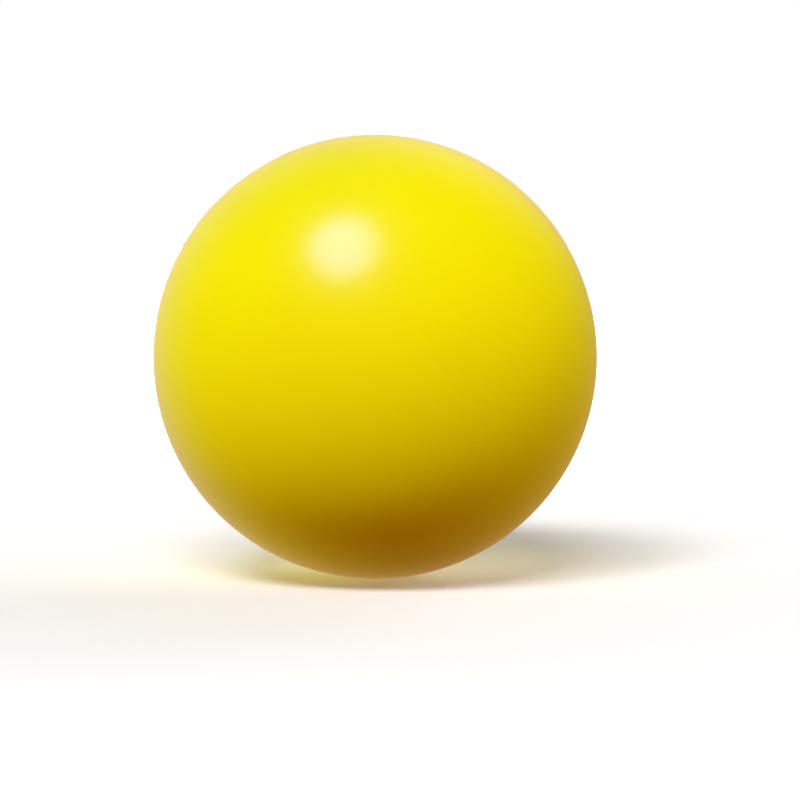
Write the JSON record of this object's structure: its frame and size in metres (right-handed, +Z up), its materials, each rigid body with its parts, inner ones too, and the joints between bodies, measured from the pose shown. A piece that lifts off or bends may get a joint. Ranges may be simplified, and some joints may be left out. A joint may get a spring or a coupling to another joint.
{
  "type": "stress ball",
  "caption": "Soft foam squeeze ball with a coloured moulded skin in two halves, a foam core and a sealed pour gate.",
  "frame": {"origin": "centre of the ball, on the parting plane", "axes": "+Y from the centre out through the pour gate at the rear pole, +Z up, front of the ball towards -Y; the two skin halves meet in the XZ plane"},
  "size_m": [0.0762, 0.076, 0.0762],
  "materials": {
    "skin": "satin",
    "foam": "matte",
    "seal": "gloss"
  },
  "bodies": {
    "rear": {"rear_skin": "skin", "foam_core": "foam", "gate_seal": "seal"},
    "front": {"front_skin": "skin"}
  },
  "joints": [
    {"name": "squeeze", "type": "slide", "parent": "rear", "child": "front", "axis": [0, 1, 0], "range_m": [0, 0.03], "stiffness_N_per_m": 3000, "deforming": ["front_skin", "rear_skin", "foam_core"]}
  ]
}
